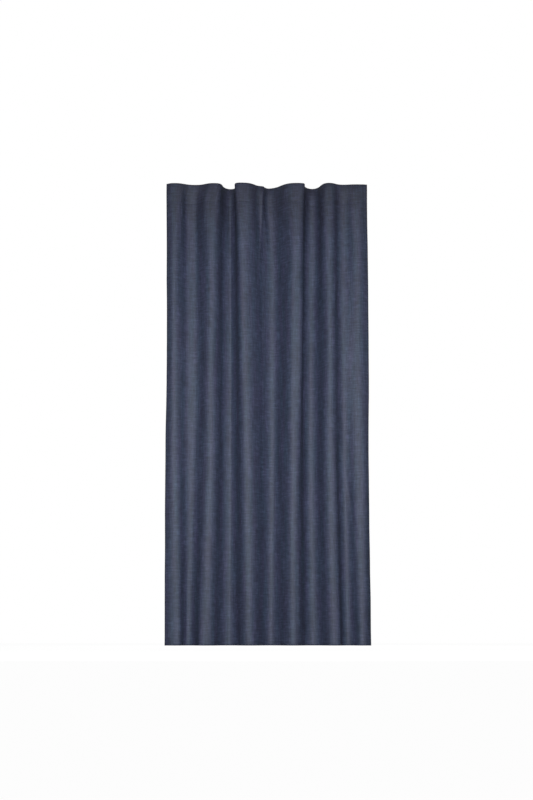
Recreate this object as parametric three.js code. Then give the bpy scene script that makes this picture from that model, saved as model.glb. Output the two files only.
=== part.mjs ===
// Curtain panel, hung
// One length of plain cloth falls from its heading to its hem in uneven, soft folds.
// Units are millimetres. +X is to the right, -Y is the front of the cloth and +Z is up.
// The origin is at the top edge, in the middle of the width, level with the backs of the folds.

import * as THREE from 'three';

// Sizes of the cloth
const CUT_WIDTH = 1450; // side to side, laid flat
const DROP = 2400; // top edge to hem
const CLOTH = 1.6; // one thickness of cloth
const TURNED = 1; // what a turned hem adds behind it
const SIDE_HEM = 25;
const BOTTOM_HEM = 80;
const HEADING_TURN = 100;
const HEM_STEP = 4; // run over which a hem's edge thins out
const FULL = CLOTH + TURNED;

// Sizes of the mesh
const STEPS_ACROSS = 94;
const STEPS_IN_HEM = 2;
const STEPS_UPPER = 6;
const STEPS_BODY = 10;
const SECTION_STEPS = 40; // fine steps for each half fold, to measure along the cloth

// Heights at which the folds are set out: head, seam, upper, waist, lower and foot
const LEVELS = [0, -100, -400, -950, -1500, -DROP];
const EVEN = [0, 0, 0, 0, 0, 0];

// Fold lines, from left to right, at the six levels: crests stand forward and troughs lie back.
// tuck and lean shape the flank on the fold's right.
// A tuck of 0 gives a soft flank and 1 an upright one, and more than 1 tucks it under.
// A lean above 0 puts the flank's steep part nearer the next fold.
// press sharpens the fold line itself.
const fold = ({ x, forward, tuck = EVEN, lean = EVEN, press = EVEN }) => ({
  x, forward, tuck, lean, press,
});
const FOLDS = {
  leftReturn: fold({
    x: [-561, -560, -557, -549, -561, -568],
    forward: [64, 52, 34, 44, 40, 44],
    tuck: [0, 0, 0, 0, 0.1, 0.3],
  }),
  crest1: fold({
    x: [-483, -483, -481, -479, -473, -457],
    forward: [92, 92, 92, 92, 92, 92],
    tuck: [0.3, 0.6, 0.4, 0.25, 0.3, 0.6],
    lean: [0, -0.4, -0.5, -0.4, -0.1, 0.4],
  }),
  trough1: fold({
    x: [-370, -373, -374, -372, -379, -391],
    forward: [62, 36, 30, 42, 40, 29],
    tuck: [0.2, 0.2, 0.1, 0.2, 0.2, 0.4],
    lean: [0, -0.7, -0.2, 0, 0, -0.4],
  }),
  crest2: fold({
    x: [-272, -280, -284, -286, -288, -306],
    forward: [92, 92, 93, 97, 99, 102],
    tuck: [0.6, 0.5, 0.6, 0.55, 0.45, 0.4],
    lean: [0.3, 0.2, -0.1, -0.2, -0.15, 0],
  }),
  trough2: fold({
    x: [-188, -190, -187, -184, -184, -187],
    forward: [-4, -6, 2, 6, 6, 2],
    tuck: [1.5, 1.2, 0.6, 0.4, 0.3, 0.35],
    lean: [0, 0, -0.15, -0.15, -0.1, 0],
    press: [0.1, 0.3, 0.4, 0.3, 0.2, 0.1],
  }),
  crest3: fold({
    x: [-138, -130, -123, -111, -99, -86],
    forward: [100, 98, 94, 92, 92, 95],
    tuck: [0.2, 0.3, 0.1, 0.1, 0.15, 0.2],
    lean: [0.5, 0.3, 0.1, 0.15, 0.2, 0.1],
  }),
  trough3: fold({
    x: [13, 20, 29, 30, 29, 23],
    forward: [6, 0, -4, -4, -4, -4],
    tuck: [0.2, 0.1, 0.15, 0.15, 0.15, 0.15],
    lean: [-0.4, -0.2, 0.1, 0.1, 0, 0],
  }),
  crest4: fold({
    x: [163, 158, 149, 141, 137, 137],
    forward: [94, 94, 96, 98, 98, 98],
    tuck: [1, 0.9, 1.1, 1.15, 0.6, 0.4],
    lean: [0.5, 0.45, 0.3, 0.5, 0.2, 0],
  }),
  trough4: fold({
    x: [243, 240, 238, 231, 227, 236],
    forward: [0, 0, 0, 0, 2, 8],
    tuck: [0.4, 0.5, 0.5, 0.25, 0.4, 0.3],
    lean: [-0.1, 0, 0.1, 0.12, 0.12, 0.05],
    press: [0, 0, 0, 0.1, 0, 0],
  }),
  crest5: fold({
    x: [328, 328, 327, 331, 328, 346],
    forward: [94, 94, 94, 94, 94, 96],
    tuck: [0.2, 0.3, 0.5, 0.35, 0.5, 0.7],
    lean: [0, 0, 0, 0, 0.2, 0.2],
  }),
  trough5: fold({
    x: [402, 402, 402, 398, 402, 414],
    forward: [66, 48, 44, 46, 38, 26],
    tuck: [0.3, 0.3, 0.2, 0, 0.2, 0.3],
    lean: [0, 0, 0, 0, -0.3, 0],
    press: [0.1, 0.1, 0, 0.2, 0.1, 0],
  }),
  crest6: fold({
    x: [472, 474, 480, 478, 482, 488],
    forward: [72, 72, 74, 66, 72, 86],
    tuck: [0, 0, 0, 0.1, 0.3, 0.3],
    lean: [0, 0, 0.1, 0.2, 0.3, 0.1],
    press: [0, 0, 0, 0.2, 0, 0],
  }),
  rightReturn: fold({
    x: [586, 584, 586, 588, 574, 577],
    forward: [64, 44, 4, 8, 0, 4],
  }),
};

// The two cut sides lie halfway down the outermost flanks.
const SIDE_AT = 0.5;

// A ledge in the heading: the flank right of the third crest runs out flat and then drops.
const LEDGE = { across: 725, reach: 420, left: 60, right: 28, rise: 22 };

// Value at a height, on a smooth curve through the values at the levels
function atHeight(values, z) {
  let i = 0;
  while (i < LEVELS.length - 2 && z < LEVELS[i + 1]) i += 1;
  const slope = (k) => {
    const a = Math.max(k - 1, 0);
    const b = Math.min(k + 1, LEVELS.length - 1);
    return (values[b] - values[a]) / (LEVELS[b] - LEVELS[a]);
  };
  const run = LEVELS[i + 1] - LEVELS[i];
  const t = (z - LEVELS[i]) / run;
  const turn = t * t * (3 - 2 * t);
  const leave = t * (1 - t) * (1 - t) * slope(i);
  const arrive = t * t * (t - 1) * slope(i + 1);
  return THREE.MathUtils.lerp(values[i], values[i + 1], turn) + run * (leave + arrive);
}

// Point on the half fold between two fold lines, t running from 0 to 1
function halfFold(from, to, t, z) {
  const { lerp } = THREE.MathUtils;
  const across = t + (atHeight(from.tuck, z) * Math.sin(2 * Math.PI * t)) / (2 * Math.PI);
  const turn = t - atHeight(from.lean, z) * t * (1 - t);
  const bow = Math.sin(Math.PI * turn) / 2;
  const sharpFrom = atHeight(from.press, z) * bow * (1 - turn) ** 2;
  const sharpTo = atHeight(to.press, z) * bow * turn ** 2;
  const back = (1 - Math.cos(Math.PI * turn)) / 2 + sharpFrom - sharpTo;
  const x = lerp(atHeight(from.x, z), atHeight(to.x, z), across);
  const forward = lerp(atHeight(from.forward, z), atHeight(to.forward, z), back);
  return new THREE.Vector2(x, -forward - FULL);
}

// The level section of the cloth's face at a height, from its left side to its right side
function section(z) {
  const lines = Object.values(FOLDS);
  const points = [];
  for (let k = 0; k < lines.length - 1; k += 1) {
    const first = k === 0 ? SIDE_AT : 0;
    const last = k === lines.length - 2 ? SIDE_AT : 1;
    for (let i = k === 0 ? 0 : 1; i <= SECTION_STEPS; i += 1) {
      const t = THREE.MathUtils.lerp(first, last, i / SECTION_STEPS);
      points.push(halfFold(lines[k], lines[k + 1], t, z));
    }
  }
  return points;
}

// How far the ledge lifts the cloth, across being measured along it: it rises softly and drops sharply
function ledgeRise(across, z) {
  const { smoothstep } = THREE.MathUtils;
  const high = smoothstep(1 + z / LEDGE.reach, 0, 1);
  const rising = smoothstep(1 - (LEDGE.across - across) / LEDGE.left, 0, 1);
  const dropping = Math.max(0, 1 - (across - LEDGE.across) / LEDGE.right) ** 2;
  return LEDGE.rise * high * (across < LEDGE.across ? rising : dropping);
}

// Points of the cloth's face at a height, at each of the given places along the cloth
function facePoints(places, z) {
  const points = section(z);
  const lengths = [0];
  for (let i = 1; i < points.length; i += 1) {
    lengths.push(lengths[i - 1] + points[i].distanceTo(points[i - 1]));
  }
  const whole = lengths[lengths.length - 1];
  let i = 1;
  return places.map((across) => {
    const along = (across / CUT_WIDTH) * whole;
    while (i < points.length - 1 && lengths[i] < along) i += 1;
    const t = (along - lengths[i - 1]) / (lengths[i] - lengths[i - 1]);
    const point = points[i - 1].clone().lerp(points[i], t);
    point.y -= ledgeRise(across, z);
    return point;
  });
}

// Evenly spaced values, leaving out the first
function spaced(from, to, steps) {
  return Array.from({ length: steps }, (_, i) => THREE.MathUtils.lerp(from, to, (i + 1) / steps));
}

// Places across the cloth where the mesh has its columns
const acrossCloth = [
  0,
  ...spaced(0, SIDE_HEM - HEM_STEP, STEPS_IN_HEM),
  SIDE_HEM,
  ...spaced(SIDE_HEM, CUT_WIDTH - SIDE_HEM, STEPS_ACROSS),
  CUT_WIDTH - SIDE_HEM + HEM_STEP,
  ...spaced(CUT_WIDTH - SIDE_HEM + HEM_STEP, CUT_WIDTH, STEPS_IN_HEM),
];

// Heights where the mesh has its rows
const downCloth = [
  0,
  ...spaced(0, HEM_STEP - HEADING_TURN, STEPS_IN_HEM),
  -HEADING_TURN,
  ...spaced(-HEADING_TURN, LEVELS[2], STEPS_UPPER),
  ...spaced(LEVELS[2], BOTTOM_HEM - DROP, STEPS_BODY),
  BOTTOM_HEM - HEM_STEP - DROP,
  ...spaced(BOTTOM_HEM - HEM_STEP - DROP, -DROP, STEPS_IN_HEM),
];

// Thickness of the cloth: a hem is turned to the back along all four edges
function thickness(across, z) {
  const inSide = Math.min(across, CUT_WIDTH - across) < SIDE_HEM;
  const inHeading = z > -HEADING_TURN;
  const inBottom = z < BOTTOM_HEM - DROP;
  return inSide || inHeading || inBottom ? FULL : CLOTH;
}

// The hung cloth: a flat slab of the cloth's grid, with each point moved to its place in the folds
function hangCloth() {
  const columns = acrossCloth.length - 1;
  const rows = downCloth.length - 1;
  const geometry = new THREE.BoxGeometry(columns, 1, rows, columns, 1, rows);
  const faces = downCloth.map((z) => facePoints(acrossCloth, z));
  const place = geometry.attributes.position;
  for (let i = 0; i < place.count; i += 1) {
    const column = Math.round(place.getX(i) + columns / 2);
    const row = Math.round(rows / 2 - place.getZ(i));
    const behind = place.getY(i) > 0;
    const face = faces[row];
    const before = face[Math.max(column - 1, 0)];
    const after = face[Math.min(column + 1, columns)];
    const along = after.clone().sub(before).normalize();
    const depth = behind ? thickness(acrossCloth[column], downCloth[row]) : 0;
    const x = face[column].x - along.y * depth;
    const y = face[column].y + along.x * depth;
    place.setXYZ(i, x, y, downCloth[row]);
  }
  geometry.computeVertexNormals();
  return geometry;
}

const navyCloth = new THREE.MeshStandardMaterial({
  name: 'navy cloth',
  color: new THREE.Color(0.052, 0.06, 0.095),
  roughness: 0.8,
  metalness: 0,
});

const panel = new THREE.Mesh(hangCloth(), navyCloth);
panel.name = 'panel';

const group = new THREE.Group();
group.add(panel);

export default group;
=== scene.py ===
"""Curtain panel: one length of plain dark blue-grey cloth, hanging in soft uneven folds."""

import math

import bmesh
import bpy
import numpy as np
from mathutils import Euler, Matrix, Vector, noise


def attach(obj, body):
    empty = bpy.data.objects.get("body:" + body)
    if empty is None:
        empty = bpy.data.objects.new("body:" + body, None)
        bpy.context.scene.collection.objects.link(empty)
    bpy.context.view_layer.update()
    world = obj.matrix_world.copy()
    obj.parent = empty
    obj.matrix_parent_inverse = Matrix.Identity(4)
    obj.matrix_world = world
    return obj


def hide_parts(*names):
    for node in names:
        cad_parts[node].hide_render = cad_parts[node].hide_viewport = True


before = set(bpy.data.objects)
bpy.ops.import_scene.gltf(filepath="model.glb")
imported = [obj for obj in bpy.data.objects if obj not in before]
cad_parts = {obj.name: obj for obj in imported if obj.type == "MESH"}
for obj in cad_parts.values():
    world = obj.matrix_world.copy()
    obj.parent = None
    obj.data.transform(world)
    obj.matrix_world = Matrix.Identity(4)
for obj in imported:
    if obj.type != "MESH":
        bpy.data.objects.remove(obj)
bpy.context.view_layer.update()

# Sizes of the cloth, in metres
CUT_WIDTH = 1.45
DROP = 2.4
CLOTH = 0.0016
TURNED = 0.001
FULL = CLOTH + TURNED
SIDE_HEM = 0.025
BOTTOM_HEM = 0.08
HEADING_TURN = 0.1

# Heights at which the folds are set out: head, seam, upper, waist, lower and foot
LEVELS = (0.0, -0.1, -0.4, -0.95, -1.5, -DROP)
EVEN = (0,) * len(LEVELS)


def fold(x, forward, tuck=EVEN, lean=EVEN, press=EVEN):
    """A fold line: its place across, how far forward it stands, and the shape of its flank."""
    return {"x": x, "forward": forward, "tuck": tuck, "lean": lean, "press": press}


# Fold lines from left to right, at the six levels: crests stand forward and troughs lie back.
# Tuck and lean shape the flank on the fold's right: a tuck of 1 makes it upright and more tucks it
# under; a lean puts its steep part nearer the next fold. Press sharpens the fold line itself.
FOLDS = {
    "left_return": fold(
        x=(-0.561, -0.560, -0.557, -0.549, -0.561, -0.568),
        forward=(0.064, 0.052, 0.034, 0.044, 0.040, 0.044),
        tuck=(0, 0, 0, 0, 0.1, 0.3),
    ),
    "crest_1": fold(
        x=(-0.483, -0.483, -0.481, -0.479, -0.473, -0.457),
        forward=(0.092, 0.092, 0.092, 0.092, 0.092, 0.092),
        tuck=(0.3, 0.6, 0.4, 0.25, 0.3, 0.6),
        lean=(0, -0.4, -0.5, -0.4, -0.1, 0.4),
    ),
    "trough_1": fold(
        x=(-0.370, -0.373, -0.374, -0.372, -0.379, -0.391),
        forward=(0.062, 0.036, 0.030, 0.042, 0.040, 0.029),
        tuck=(0.2, 0.2, 0.1, 0.2, 0.2, 0.4),
        lean=(0, -0.7, -0.2, 0, 0, -0.4),
    ),
    "crest_2": fold(
        x=(-0.272, -0.280, -0.284, -0.286, -0.288, -0.306),
        forward=(0.092, 0.092, 0.093, 0.097, 0.099, 0.102),
        tuck=(0.6, 0.5, 0.6, 0.55, 0.45, 0.4),
        lean=(0.3, 0.2, -0.1, -0.2, -0.15, 0),
    ),
    "trough_2": fold(
        x=(-0.188, -0.190, -0.187, -0.184, -0.184, -0.187),
        forward=(-0.004, -0.006, 0.002, 0.006, 0.006, 0.002),
        tuck=(1.5, 1.2, 0.6, 0.4, 0.3, 0.35),
        lean=(0, 0, -0.15, -0.15, -0.1, 0),
        press=(0.1, 0.3, 0.4, 0.3, 0.2, 0.1),
    ),
    "crest_3": fold(
        x=(-0.138, -0.130, -0.123, -0.111, -0.099, -0.086),
        forward=(0.100, 0.098, 0.094, 0.092, 0.092, 0.095),
        tuck=(0.2, 0.3, 0.1, 0.1, 0.15, 0.2),
        lean=(0.5, 0.3, 0.1, 0.15, 0.2, 0.1),
    ),
    "trough_3": fold(
        x=(0.013, 0.020, 0.029, 0.030, 0.029, 0.023),
        forward=(0.006, 0, -0.004, -0.004, -0.004, -0.004),
        tuck=(0.2, 0.1, 0.15, 0.15, 0.15, 0.15),
        lean=(-0.4, -0.2, 0.1, 0.1, 0, 0),
    ),
    "crest_4": fold(
        x=(0.163, 0.158, 0.149, 0.141, 0.137, 0.137),
        forward=(0.094, 0.094, 0.096, 0.098, 0.098, 0.098),
        tuck=(1, 0.9, 1.1, 1.15, 0.6, 0.4),
        lean=(0.5, 0.45, 0.3, 0.5, 0.2, 0),
    ),
    "trough_4": fold(
        x=(0.243, 0.240, 0.238, 0.231, 0.227, 0.236),
        forward=(0, 0, 0, 0, 0.002, 0.008),
        tuck=(0.4, 0.5, 0.5, 0.25, 0.4, 0.3),
        lean=(-0.1, 0, 0.1, 0.12, 0.12, 0.05),
        press=(0, 0, 0, 0.1, 0, 0),
    ),
    "crest_5": fold(
        x=(0.328, 0.328, 0.327, 0.331, 0.328, 0.346),
        forward=(0.094, 0.094, 0.094, 0.094, 0.094, 0.096),
        tuck=(0.2, 0.3, 0.5, 0.35, 0.5, 0.7),
        lean=(0, 0, 0, 0, 0.2, 0.2),
    ),
    "trough_5": fold(
        x=(0.402, 0.402, 0.402, 0.398, 0.402, 0.414),
        forward=(0.066, 0.048, 0.044, 0.046, 0.038, 0.026),
        tuck=(0.3, 0.3, 0.2, 0, 0.2, 0.3),
        lean=(0, 0, 0, 0, -0.3, 0),
        press=(0.1, 0.1, 0, 0.2, 0.1, 0),
    ),
    "crest_6": fold(
        x=(0.472, 0.474, 0.480, 0.478, 0.482, 0.488),
        forward=(0.072, 0.072, 0.074, 0.066, 0.072, 0.086),
        tuck=(0, 0, 0, 0.1, 0.3, 0.3),
        lean=(0, 0, 0.1, 0.2, 0.3, 0.1),
        press=(0, 0, 0, 0.2, 0, 0),
    ),
    "right_return": fold(
        x=(0.586, 0.584, 0.586, 0.588, 0.574, 0.577),
        forward=(0.064, 0.044, 0.004, 0.008, 0.000, 0.004),
    ),
}

# How far forward a usual crest stands
CREST = 0.094

# The two cut sides lie halfway down the outermost flanks
SIDE_AT = 0.5
SECTION_STEPS = 40

# The ledge in the heading, right of the third crest, with its place and widths along the cloth
LEDGE_ACROSS = 0.725
LEDGE_REACH = 0.42
LEDGE_LEFT = 0.06
LEDGE_RIGHT = 0.028
LEDGE_RISE = 0.022

# The heading tips back at its top edge, fading out at the reach, and its edge is rolled
HEADING_TIP = 0.012
TIP_RUN = 0.04
TIP_REACH = 0.3
TIP_FADE = 0.25
EDGE_ROLL = 0.002

# Unevenness of the cloth: how far it rises, and how wide and how tall its marks are
WAVE = (0.0016, 0.06, 0.2)
CRUMPLE = (0.0004, 0.02, 0.045)

# Creases, each a soft trough or ridge from one point of the hanging cloth to another
# Columns: across and height of the upper end, the same of the lower end, half width and rise
CREASES = {
    "lip_of_ledge": (-0.0145, 0.05, -0.035, -0.50, 0.011, 0.0045),
    "line_at_foot_of_first_trough": (-0.399, -1.95, -0.408, -2.52, 0.014, -0.0028),
    "line_below_ledge": (-0.022, -0.22, -0.021, -1.95, 0.011, -0.0022),
    "line_by_fourth_crest": (0.190, -0.10, 0.182, -1.30, 0.010, -0.0020),
    "shelf_by_fourth_crest": (0.166, -1.90, 0.170, -2.40, 0.010, 0.0026),
    "slant_right_upper": (0.414, -0.46, 0.446, -0.62, 0.014, 0.0022),
    "slant_right_middle": (0.342, -1.28, 0.398, -1.50, 0.018, -0.0020),
    "slant_right_lower": (0.408, -1.50, 0.474, -1.96, 0.016, -0.0024),
    "short_line_second_trough": (-0.248, -1.365, -0.198, -1.335, 0.009, 0.0018),
    "slant_first_flank": (-0.366, -1.74, -0.304, -1.90, 0.014, -0.0020),
    "line_first_flank": (-0.420, -1.86, -0.434, -2.12, 0.014, 0.0026),
    "short_line_left_side": (-0.512, -1.30, -0.470, -1.318, 0.010, 0.0020),
}
CREASE_END = 0.25

# Sewing: the side hems and the heading are stitched through, the bottom hem only picked up behind
SIDE_SEAM = 0.0215
SEAM_GROOVE = 0.004
SEAM_DEPTH = 0.0006
STITCH_PITCH = 0.004
STITCH_LENGTH = 0.0033
STITCH_WIDTH = 0.0009
STITCH_SUNK = 0.0001
PICK_PITCH = 0.011
PICK_RUN = (0.25, 0, 1)

# A stitch: its sides, its straight part, and how its ends run on, bend in and thin
STITCH_SIDES = 6
STITCH_STRAIGHT = 0.56 * STITCH_LENGTH
STITCH_TAIL = 0.22 * STITCH_LENGTH
STITCH_BEND = 0.45 * STITCH_WIDTH
STITCH_THINS = 0.55

# How unevenly the stitches lie: their slant, their stray and their sizes
STITCH_SLANT = 0.05
STITCH_STRAY = 0.0001
STITCH_SIZES = (0.92, 1.04)

# Puckers along the seams: how far they rise, how far they spread, and their length and width
PUCKER = 0.0011
PUCKER_SPREAD = (0.022, 0.025)
PUCKER_LENGTH = 0.05
PUCKER_WIDTH = 0.024

# Mesh of the cloth, its rounded edges and its hems' inner edges
COLUMN = 0.0056
ROW = 0.0152
EDGE_ROUND = 0.004
EDGE_DRAWN_IN = 0.45
EDGE_ROLLED = EDGE_ROUND * 2.2
HEM_STEP = 0.0006
HEM_RIDGE = 0.0007

# How far in from the cloth's edges painted shade darkens its colour, and where the painted shade
# that darkens the cloth toward its top edge ends
EDGE_SHADE_WIDTH = 0.007
PAINTED_TOP_SHADE = (0.02, 0.36)

# The camera stands low and looks up a little
CAMERA_AWAY = 6.8
CAMERA_HEIGHT = -2.36
CAMERA_TILT = math.radians(6.5)
CAMERA_LENS = 59.7
CAMERA_SHIFT = 0.108
CAMERA_ACROSS = 0.002

FLOOR_HEIGHT = -DROP - 0.02
AMBIENT = 0.21


def smoothstep(value, low, high):
    """0 up to the low value and 1 from the high one, with a soft rise between."""
    t = np.clip((value - low) / (high - low), 0, 1)
    return t * t * (3 - 2 * t)


def at_height(values, z):
    """A fold's measure at a height, on a smooth curve through its values at the levels."""
    i = 0
    while i < len(LEVELS) - 2 and z < LEVELS[i + 1]:
        i += 1

    def slope(k):
        a, b = max(k - 1, 0), min(k + 1, len(LEVELS) - 1)
        return (values[b] - values[a]) / (LEVELS[b] - LEVELS[a])

    run = LEVELS[i + 1] - LEVELS[i]
    t = (z - LEVELS[i]) / run
    turn = t * t * (3 - 2 * t)
    ends = t * (1 - t) ** 2 * slope(i) + t * t * (t - 1) * slope(i + 1)
    return values[i] + (values[i + 1] - values[i]) * turn + run * ends


def half_fold(left, right, t, z):
    """Points of the cloth between two fold lines: x and forward, for t running from 0 to 1."""
    shape = {name: at_height(left[name], z) for name in ("lean", "press")}
    tuck = at_height(left["tuck"], z)
    turn = t - shape["lean"] * t * (1 - t)
    back = (1 - np.cos(np.pi * turn)) / 2
    bow = np.sin(np.pi * turn) / 2
    back += shape["press"] * bow * (1 - turn) ** 2 - at_height(right["press"], z) * bow * turn**2
    across = t + tuck * np.sin(2 * np.pi * t) / (2 * np.pi)
    x0, x1 = at_height(left["x"], z), at_height(right["x"], z)
    y0, y1 = at_height(left["forward"], z), at_height(right["forward"], z)
    return x0 + (x1 - x0) * across, y0 + (y1 - y0) * back


def section(z):
    """The level section of the cloth's face at a height: x, forward and the length along it."""
    lines = list(FOLDS.values())
    across, forward = [], []
    for k, (left, right) in enumerate(zip(lines, lines[1:])):
        first = SIDE_AT if k == 0 else 0
        last = SIDE_AT if k == len(lines) - 2 else 1
        x, y = half_fold(left, right, np.linspace(first, last, SECTION_STEPS + 1)[(k > 0):], z)
        across.append(x)
        forward.append(y)
    across, forward = np.concatenate(across), np.concatenate(forward)
    steps = np.hypot(np.diff(across), np.diff(forward))
    along = np.concatenate([[0], np.cumsum(steps)])
    return across, forward, along * CUT_WIDTH / along[-1]


def ledge(along, z):
    """How far the ledge lifts the cloth: it rises softly and drops sharply."""
    high = smoothstep(1 + z / LEDGE_REACH, 0, 1)
    rising = smoothstep(1 - (LEDGE_ACROSS - along) / LEDGE_LEFT, 0, 1)
    dropping = np.clip(1 - (along - LEDGE_ACROSS) / LEDGE_RIGHT, 0, 1) ** 2
    return LEDGE_RISE * high * np.where(along < LEDGE_ACROSS, rising, dropping)


def heading_tip(forward, z):
    """The heading tips back at its top edge, most of all in the troughs, and the edge is rolled."""
    lies_back = np.clip(1 - forward / CREST, 0, 1) ** 0.5
    below = smoothstep(-z, 0, TIP_RUN) * smoothstep(TIP_REACH + z, 0, TIP_FADE)
    tip = HEADING_TIP * lies_back * below
    return tip - EDGE_ROLL * (1 - smoothstep(-z, 0, EDGE_ROLLED))


def steps_between(stops, step):
    """Places from the first stop to the last, with each stop kept and the gaps near the step."""
    places = [stops[0]]
    for a, b in zip(stops, stops[1:]):
        count = max(1, round(abs(b - a) / step))
        places += [a + (b - a) * (i + 1) / count for i in range(count)]
    return np.array(places)


def creases(x, z):
    """How far the creases lift the cloth's face at places of the hanging cloth."""
    lift = np.zeros_like(x)
    for x0, z0, x1, z1, half, rise in CREASES.values():
        run, fall = x1 - x0, z1 - z0
        t = np.clip(((x - x0) * run + (z - z0) * fall) / (run * run + fall * fall), 0, 1)
        off = np.hypot(x - x0 - t * run, z - z0 - t * fall)
        ends = smoothstep(t, 0, CREASE_END) * smoothstep(1 - t, 0, CREASE_END)
        lift += rise * ends * smoothstep(1 - off / half, 0, 1)
    return lift


def ripple(along, down, wide, tall, seed):
    """Smooth unevenness between -1 and 1, with marks of the given size."""
    return np.array([
        [noise.noise(Vector((a / wide, d / tall, seed))) for a in along] for d in down
    ])


def seam_relief(along, down):
    """What the sewing does: how far puckers lift the cloth, and how far each face is drawn in."""
    side = np.abs(np.minimum(along, CUT_WIDTH - along) - SIDE_SEAM)[None, :]
    top = np.abs(down - HEADING_TURN)[:, None]
    groove = smoothstep(1 - np.minimum(side, top) / SEAM_GROOVE, 0, 1)
    by_side = smoothstep(1 - side / PUCKER_SPREAD[0], 0, 1)
    by_top = smoothstep(1 - top / PUCKER_SPREAD[1], 0, 1)
    puckers = ripple(along, down, PUCKER_LENGTH, PUCKER_WIDTH, 5.0) * by_side
    puckers = puckers + ripple(along, down, PUCKER_WIDTH, PUCKER_LENGTH, 9.0) * by_top
    return PUCKER * puckers, SEAM_DEPTH * groove


def face_points(along, down):
    """The cloth's face on the grid of the given places, and the directions out of it."""
    points = np.zeros((len(down), len(along), 3))
    for r, z in enumerate(-down):
        x, forward, length = section(z)
        forward = np.interp(along, length, forward)
        points[r, :, 0] = np.interp(along, length, x)
        points[r, :, 1] = -forward - FULL - ledge(along, z) - heading_tip(forward, z)
        points[r, :, 2] = z
    points[:, :, 1] -= creases(points[:, :, 0], points[:, :, 2])
    right = np.gradient(points, axis=1)
    fall = np.gradient(points, axis=0)
    out = np.cross(fall, right)
    return points, out / np.linalg.norm(out, axis=2)[:, :, None]


def hem_stops(whole, first_hem, last_hem, seams):
    """Stops from edge to edge of the cloth: rounded edges, seams and the hems' inner edges."""
    stops = [0, EDGE_ROUND * 0.3, EDGE_ROUND, EDGE_ROLLED]
    for hem, inward in ((first_hem, 1), (whole - last_hem, -1)):
        stops += [hem - inward * HEM_STEP * 5, hem - inward * HEM_STEP, hem + inward * HEM_STEP]
    stops += [whole - EDGE_ROUND, whole - EDGE_ROUND * 0.3, whole]
    for seam in seams:
        stops += [seam - SEAM_GROOVE, seam - SEAM_GROOVE / 2, seam, seam + SEAM_GROOVE / 2]
    return sorted(set(round(stop, 5) for stop in stops))


def cloth_faces(along, down):
    """The front and back of the cloth, with its hems turned behind, and the directions out."""
    face, out = face_points(along, down)
    puckers, drawn_in = seam_relief(along, down)
    wave = WAVE[0] * ripple(along, down, *WAVE[1:], 1.0)
    crumple = CRUMPLE[0] * ripple(along, down, *CRUMPLE[1:], 2.0)
    face += out * (wave + crumple + puckers)[:, :, None]
    edge_x = np.minimum(along, CUT_WIDTH - along)[None, :]
    edge_z = np.minimum(down, DROP - down)[:, None]
    in_ends = np.maximum(HEADING_TURN - down, down - DROP + BOTTOM_HEM)[:, None]
    in_hem = np.maximum(SIDE_HEM - edge_x, in_ends)
    ridge = HEM_RIDGE * smoothstep(1 - np.abs(in_hem - HEM_STEP) / (4 * HEM_STEP), 0, 1)
    thick = CLOTH + (in_hem > 0) * (TURNED + ridge)
    near_edge = 1 - np.clip(np.minimum(edge_x, edge_z) / EDGE_ROUND, 0, 1)
    inset = drawn_in + EDGE_DRAWN_IN * thick * near_edge**2
    front = face - out * inset[:, :, None]
    back = face - out * (thick - inset)[:, :, None]
    return front, back, out


def make_panel(along, down, front, back):
    """The cloth as one closed sheet."""
    rows, columns = len(down), len(along)
    points = np.concatenate([front.reshape(-1, 3), back.reshape(-1, 3)])
    number = np.arange(rows * columns).reshape(rows, columns)
    rear = number + rows * columns
    quads = []

    def strip(a, b, c, d):
        quads.append(np.stack([a.ravel(), b.ravel(), c.ravel(), d.ravel()], axis=1))

    strip(number[:-1, :-1], number[1:, :-1], number[1:, 1:], number[:-1, 1:])
    strip(rear[:-1, :-1], rear[:-1, 1:], rear[1:, 1:], rear[1:, :-1])
    strip(number[:-1, 0], rear[:-1, 0], rear[1:, 0], number[1:, 0])
    strip(number[1:, -1], rear[1:, -1], rear[:-1, -1], number[:-1, -1])
    strip(number[0, 1:], rear[0, 1:], rear[0, :-1], number[0, :-1])
    strip(number[-1, :-1], rear[-1, :-1], rear[-1, 1:], number[-1, 1:])
    mesh = bpy.data.meshes.new("hung_panel")
    mesh.from_pydata(points.tolist(), [], np.concatenate(quads).tolist())
    flat = np.stack(np.broadcast_arrays(along[None, :], (DROP - down)[:, None]), axis=2)
    flat = flat.reshape(-1, 2)
    cloth_map = mesh.uv_layers.new(name="cloth")
    corners = np.zeros(len(mesh.loops), dtype=int)
    mesh.loops.foreach_get("vertex_index", corners)
    cloth_map.data.foreach_set("uv", flat[corners % len(flat)].ravel())
    mesh.polygons.foreach_set("use_smooth", [True] * len(mesh.polygons))
    mesh.update()
    piece = bpy.data.objects.new("hung_panel", mesh)
    bpy.context.scene.collection.objects.link(piece)
    return piece


def model_stitch():
    """One stitch, standing on end: a short round of thread that bends in and thins at both ends."""
    bpy.ops.object.select_all(action="DESELECT")
    bpy.ops.mesh.primitive_cylinder_add(
        vertices=STITCH_SIDES, radius=STITCH_WIDTH / 2, depth=STITCH_STRAIGHT)
    stitch = bpy.context.object
    bpy.ops.object.mode_set(mode="EDIT")
    bpy.ops.mesh.select_mode(type="FACE")
    for end in (1, -1):
        bpy.ops.mesh.select_all(action="DESELECT")
        shape = bmesh.from_edit_mesh(stitch.data)
        for side in shape.faces:
            side.select = side.normal.z * end > 0.9
        bmesh.update_edit_mesh(stitch.data)
        bpy.ops.mesh.extrude_region_move(TRANSFORM_OT_translate={
            "value": (0, -STITCH_BEND, end * STITCH_TAIL),
        })
        shape = bmesh.from_edit_mesh(stitch.data)
        tail = [corner.co for corner in shape.verts if corner.select]
        middle = sum(tail, Vector()) / len(tail)
        bpy.ops.transform.resize(
            value=(STITCH_THINS, STITCH_THINS, 1), center_override=tuple(middle))
    bpy.ops.object.mode_set(mode="OBJECT")
    bpy.ops.object.shade_smooth()
    return stitch


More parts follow.
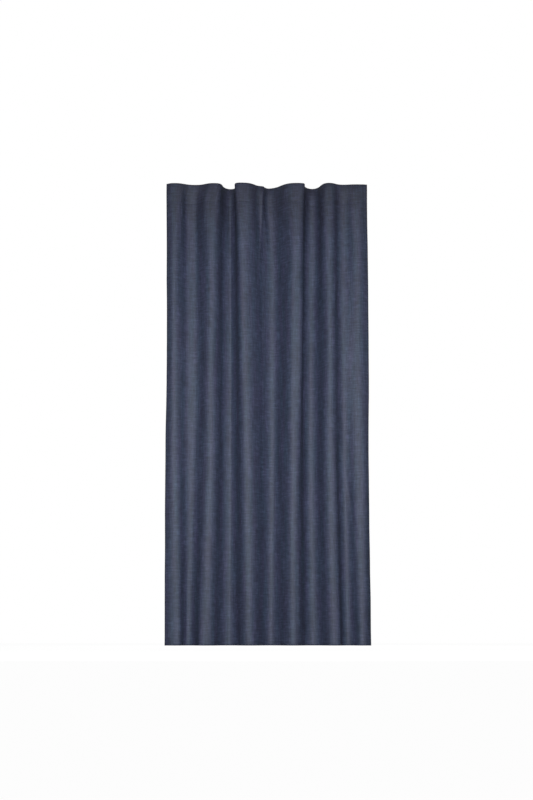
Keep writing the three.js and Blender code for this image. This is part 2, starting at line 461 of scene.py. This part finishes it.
def stitch_line(points, out, places, pitch, across=None):
    """Where the stitches of a line lie: their middles, their directions and the directions out."""
    first, last = places[0] + pitch / 2, places[-1] - pitch / 2
    at = np.linspace(first, last, int((last - first) / pitch) + 1)
    middle = np.stack([np.interp(at, places, points[:, k]) for k in range(3)], axis=1)
    proud = np.stack([np.interp(at, places, out[:, k]) for k in range(3)], axis=1)
    run = np.gradient(middle, axis=0) if across is None else np.tile(across, (len(at), 1))
    return middle, run, proud


def sew(lines):
    """Copies of one stitch along all the lines, as one piece."""
    stitch = model_stitch()
    form = np.array([vertex.co for vertex in stitch.data.vertices])
    faces = [list(face.vertices) for face in stitch.data.polygons]
    dice = np.random.default_rng(4)
    points, sides = [], []
    for middle, run, proud in lines:
        for place, along, out in zip(middle, run, proud):
            out = out / np.linalg.norm(out)
            beside = np.cross(along, out)
            beside /= np.linalg.norm(beside)
            along = np.cross(out, beside)
            along = along + beside * dice.normal(0, STITCH_SLANT)
            place = place + beside * dice.normal(0, STITCH_STRAY) - out * STITCH_SUNK
            start = len(points) * len(form)
            size = dice.uniform(*STITCH_SIZES)
            thread = form[:, [0]] * beside + form[:, [1]] * out + form[:, [2]] * size * along
            points.append(place + thread)
            sides += [[start + corner for corner in face] for face in faces]
    mesh = bpy.data.meshes.new("hem_stitching")
    mesh.from_pydata(np.concatenate(points).tolist(), [], sides)
    mesh.polygons.foreach_set("use_smooth", [True] * len(mesh.polygons))
    mesh.update()
    piece = bpy.data.objects.new("hem_stitching", mesh)
    bpy.context.scene.collection.objects.link(piece)
    bpy.data.objects.remove(stitch)
    return piece


def sew_hems(along, down, front, back, out):
    """The side hems and the heading show stitches on both faces, the bottom hem only behind."""
    lines = []
    heading = int(np.argmin(np.abs(down - HEADING_TURN)))
    hem = int(np.argmin(np.abs(down - DROP + BOTTOM_HEM)))
    for face, outward in ((front, out), (back, -out)):
        for seam in (SIDE_SEAM, CUT_WIDTH - SIDE_SEAM):
            column = int(np.argmin(np.abs(along - seam)))
            lines.append(stitch_line(face[:, column], outward[:, column], down, STITCH_PITCH))
        lines.append(stitch_line(face[heading], outward[heading], along, STITCH_PITCH))
    lines.append(stitch_line(back[hem], -out[hem], along, PICK_PITCH, PICK_RUN))
    return sew(lines)


class Signal:
    """A shader value that can be added, multiplied and so on as a number can."""

    def __init__(self, finish, socket):
        self.finish = finish
        self.socket = socket

    def join(self, operation, first, second):
        """The result of a Math node on two values."""
        return self.finish.node("ShaderNodeMath", {"operation": operation}, {0: first, 1: second})

    def __add__(self, other):
        return self.join("ADD", self, other)

    def __radd__(self, other):
        return self.join("ADD", other, self)

    def __sub__(self, other):
        return self.join("SUBTRACT", self, other)

    def __rsub__(self, other):
        return self.join("SUBTRACT", other, self)

    def __mul__(self, other):
        return self.join("MULTIPLY", self, other)

    def __rmul__(self, other):
        return self.join("MULTIPLY", other, self)

    def least(self, other):
        return self.join("MINIMUM", self, other)


class Finish:
    """A material made of nodes."""

    def __init__(self, name):
        self.material = bpy.data.materials.new(name)
        self.material.use_nodes = True
        self.tree = self.material.node_tree
        self.shader = self.tree.nodes["Principled BSDF"]

    def node(self, kind, settings=None, inputs=None, output=0):
        """A node of a type, its settings set first, then the values or links of its sockets."""
        made = self.tree.nodes.new(kind)
        for name, value in (settings or {}).items():
            if name == "stops":
                stops = made.color_ramp.elements
                while len(stops) < len(value):
                    stops.new(0.5)
                for stop, (place, colour) in zip(stops, value):
                    stop.position = place
                    stop.color = colour
            else:
                setattr(made, name, value)
        for name, value in (inputs or {}).items():
            self.feed(made, name, value)
        return Signal(self, made.outputs[output])

    def feed(self, node, name, value):
        """A socket is linked to a signal, or set to a plain value."""
        if isinstance(value, Signal):
            self.tree.links.new(value.socket, node.inputs[name])
        else:
            node.inputs[name].default_value = value

    def set(self, **values):
        """Values and links of the shader's own sockets."""
        for name, value in values.items():
            self.feed(self.shader, name.replace("_", " "), value)


def marks(finish, place, across, down, detail, rough, shift):
    """Noise on the cloth between 0 and 1, its marks as wide and as tall as given, in metres."""
    drawn = finish.node("ShaderNodeMapping", {}, {
        "Vector": place,
        "Location": (shift, shift * 0.7, 0),
        "Scale": (1 / across, 1 / down, 1),
    })
    return finish.node("ShaderNodeTexNoise", {"noise_dimensions": "2D"}, {
        "Vector": drawn, "Scale": 1.0, "Detail": detail, "Roughness": rough,
    })


def fade(finish, distance, near, far):
    """1 up to the near distance, falling softly to 0 at the far one."""
    return finish.node("ShaderNodeMapRange", {"interpolation_type": "SMOOTHSTEP"}, {
        "Value": distance, "From Min": near, "From Max": far, "To Min": 1.0, "To Max": 0.0,
    })


def navy_cloth():
    """Plain linen-look weave in dark blue-grey, with uneven threads and patches, painted shade
    along its edges, and painted shade with a warmer painted tint toward its top.
    """
    finish = Finish("navy cloth")
    place = finish.node("ShaderNodeUVMap", {"uv_map": "cloth"})
    weft = marks(finish, place, 0.05, 0.0075, 3.0, 0.6, 0.0)
    warp = marks(finish, place, 0.0075, 0.06, 3.0, 0.6, 7.0)
    streaks = marks(finish, place, 0.006, 0.3, 1.0, 0.5, 5.0)
    nubs = marks(finish, place, 0.0032, 0.0028, 1.0, 0.5, 3.0)
    fine_weft = marks(finish, place, 0.012, 0.0013, 1.0, 0.5, 13.0)
    fine_warp = marks(finish, place, 0.0013, 0.012, 1.0, 0.5, 19.0)
    patches = marks(finish, place, 0.045, 0.15, 2.0, 0.5, 11.0)
    threads = weft * 0.45 + warp * 0.35 + streaks * 0.1 + nubs * 0.1
    weave = (fine_weft + fine_warp) * 0.5
    across = finish.node("ShaderNodeSeparateXYZ", {}, {"Vector": place})
    up = finish.node("ShaderNodeSeparateXYZ", {}, {"Vector": place}, 1)
    # Painted shade: the colour darkens within a few millimetres of every edge, where the cloth
    # rounds away from the light, and the edges are made rougher
    painted_edge_shade = fade(finish, across.least(CUT_WIDTH - across).least(up.least(DROP - up)), 0.0, EDGE_SHADE_WIDTH)
    # Painted shade: the colour darkens toward the top edge, where the light falls off, and the same
    # mask tints the top warmer and makes it a little rougher
    heading = fade(finish, DROP - up, *PAINTED_TOP_SHADE)
    yarns = (threads - 0.5) * 1.8 + (weave - 0.5) * 0.5
    shade = 0.5 + yarns + (patches - 0.5) * 0.35 - painted_edge_shade * 0.5 - heading * 0.29
    colour = finish.node("ShaderNodeValToRGB", {"stops": [
        (0.1, (0.0125, 0.0145, 0.036, 1)),
        (0.5, (0.0315, 0.041, 0.086, 1)),
        (0.9, (0.069, 0.086, 0.166, 1)),
    ]}, {"Fac": shade})
    dye = marks(finish, place, 0.03, 0.28, 2.0, 0.5, 17.0)
    # The dye varies at random; toward the top the painted shade mask also shifts it to a warmer,
    # purpler painted tint of light
    cast = finish.node("ShaderNodeMix", {"data_type": "RGBA"}, {
        "Factor": 0.5 + (dye - 0.5) * 2.5 + heading * 0.3,
        6: (0.88, 1.03, 1.0, 1),
        7: (1.12, 0.94, 1.04, 1),
    }, 2)
    dyed = finish.node("ShaderNodeMix", {"data_type": "RGBA", "blend_type": "MULTIPLY"}, {
        "Factor": 1.0, 6: colour, 7: cast,
    }, 2)
    bump = finish.node("ShaderNodeBump", {}, {
        "Strength": 0.6, "Distance": 0.0014, "Height": threads + weave * 0.2,
    })
    finish.set(
        Base_Color=dyed, Roughness=0.68 + painted_edge_shade * 0.3 + heading * 0.04, Specular_IOR_Level=0.95,
        Specular_Tint=(0.87, 0.96, 1.0, 1), Normal=bump,
    )
    return finish.material


def navy_thread():
    """Plied sewing thread, a little darker than the cloth and smoother."""
    finish = Finish("navy thread")
    place = finish.node("ShaderNodeTexCoord", {}, {}, 3)
    plies = finish.node("ShaderNodeTexNoise", {}, {"Vector": place, "Scale": 1400.0, "Detail": 1.0})
    colour = finish.node("ShaderNodeValToRGB", {"stops": [
        (0.35, (0.012, 0.016, 0.036, 1)),
        (0.65, (0.034, 0.043, 0.088, 1)),
    ]}, {"Fac": plies})
    bump = finish.node("ShaderNodeBump", {}, {"Strength": 0.4, "Distance": 0.0003, "Height": plies})
    finish.set(Base_Color=colour, Roughness=0.5, Normal=bump)
    return finish.material


def make_floor():
    """A plain pale floor that glows for the camera alone, so that it lights nothing."""
    bpy.ops.mesh.primitive_plane_add(size=16, location=(0, 0, FLOOR_HEIGHT))
    floor = bpy.context.object
    floor.name = "studio_floor"
    finish = Finish("pale floor")
    seen = finish.node("ShaderNodeLightPath")
    glow = finish.node("ShaderNodeMix", {"data_type": "RGBA"}, {
        "Factor": seen, 6: (0, 0, 0, 1), 7: (0.97, 0.97, 0.97, 1),
    }, 2)
    finish.set(Base_Color=(0.05, 0.05, 0.05, 1), Roughness=0.9, Specular_IOR_Level=0.0,
               Emission_Color=glow, Emission_Strength=1.0)
    floor.data.materials.append(finish.material)


def add_light(name, size, power, place, aim):
    """A round softbox, aimed at a point."""
    data = bpy.data.lights.new(name, "AREA")
    data.shape = "DISK"
    data.size = size
    data.energy = power
    light = bpy.data.objects.new(name, data)
    light.location = place
    light.rotation_mode = "QUATERNION"
    light.rotation_quaternion = (Vector(aim) - Vector(place)).to_track_quat("-Z", "Y")
    light.visible_camera = False
    bpy.context.scene.collection.objects.link(light)


def light_studio():
    """One softbox in front, one behind, and a white world that lights the cloth only faintly."""
    add_light("front_softbox", 2.4, 94, (0.0, -3.3, -1.31), (0, 0, -1.31))
    add_light("back_softbox", 2.5, 70, (0.6, 3.2, -0.9), (0, 0, -1.3))
    world = bpy.data.worlds.new("white studio")
    bpy.context.scene.world = world
    world.use_nodes = True
    tree = world.node_tree
    ground = tree.nodes["Background"]
    ground.inputs["Color"].default_value = (1, 1, 1, 1)
    seen = tree.nodes.new("ShaderNodeLightPath").outputs["Is Camera Ray"]
    level = tree.nodes.new("ShaderNodeMapRange")
    tree.links.new(seen, level.inputs["Value"])
    level.inputs["To Min"].default_value = AMBIENT
    level.inputs["To Max"].default_value = 1.0
    tree.links.new(level.outputs[0], ground.inputs["Strength"])


def make_camera():
    """The camera at the height and angle of the photo's."""
    data = bpy.data.cameras.new("camera")
    data.lens = CAMERA_LENS
    data.shift_y = CAMERA_SHIFT
    camera = bpy.data.objects.new("camera", data)
    camera.location = (CAMERA_ACROSS, -CAMERA_AWAY, CAMERA_HEIGHT)
    camera.rotation_euler = Euler((math.pi / 2 + CAMERA_TILT, 0, 0))
    bpy.context.scene.collection.objects.link(camera)
    bpy.context.scene.camera = camera


make_camera()
light_studio()
make_floor()
side_seams = (SIDE_SEAM, CUT_WIDTH - SIDE_SEAM)
along = steps_between(hem_stops(CUT_WIDTH, SIDE_HEM, SIDE_HEM, side_seams), COLUMN)
down = steps_between(hem_stops(DROP, HEADING_TURN, BOTTOM_HEM, (HEADING_TURN,)), ROW)
front, back, out = cloth_faces(along, down)
panel = make_panel(along, down, front, back)
panel.data.materials.append(navy_cloth())
stitching = sew_hems(along, down, front, back, out)
stitching.data.materials.append(navy_thread())
for piece in (panel, stitching):
    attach(piece, "root")
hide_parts("panel")

bpy.context.scene.view_settings.view_transform = "Standard"
bpy.context.scene.view_settings.look = "None"
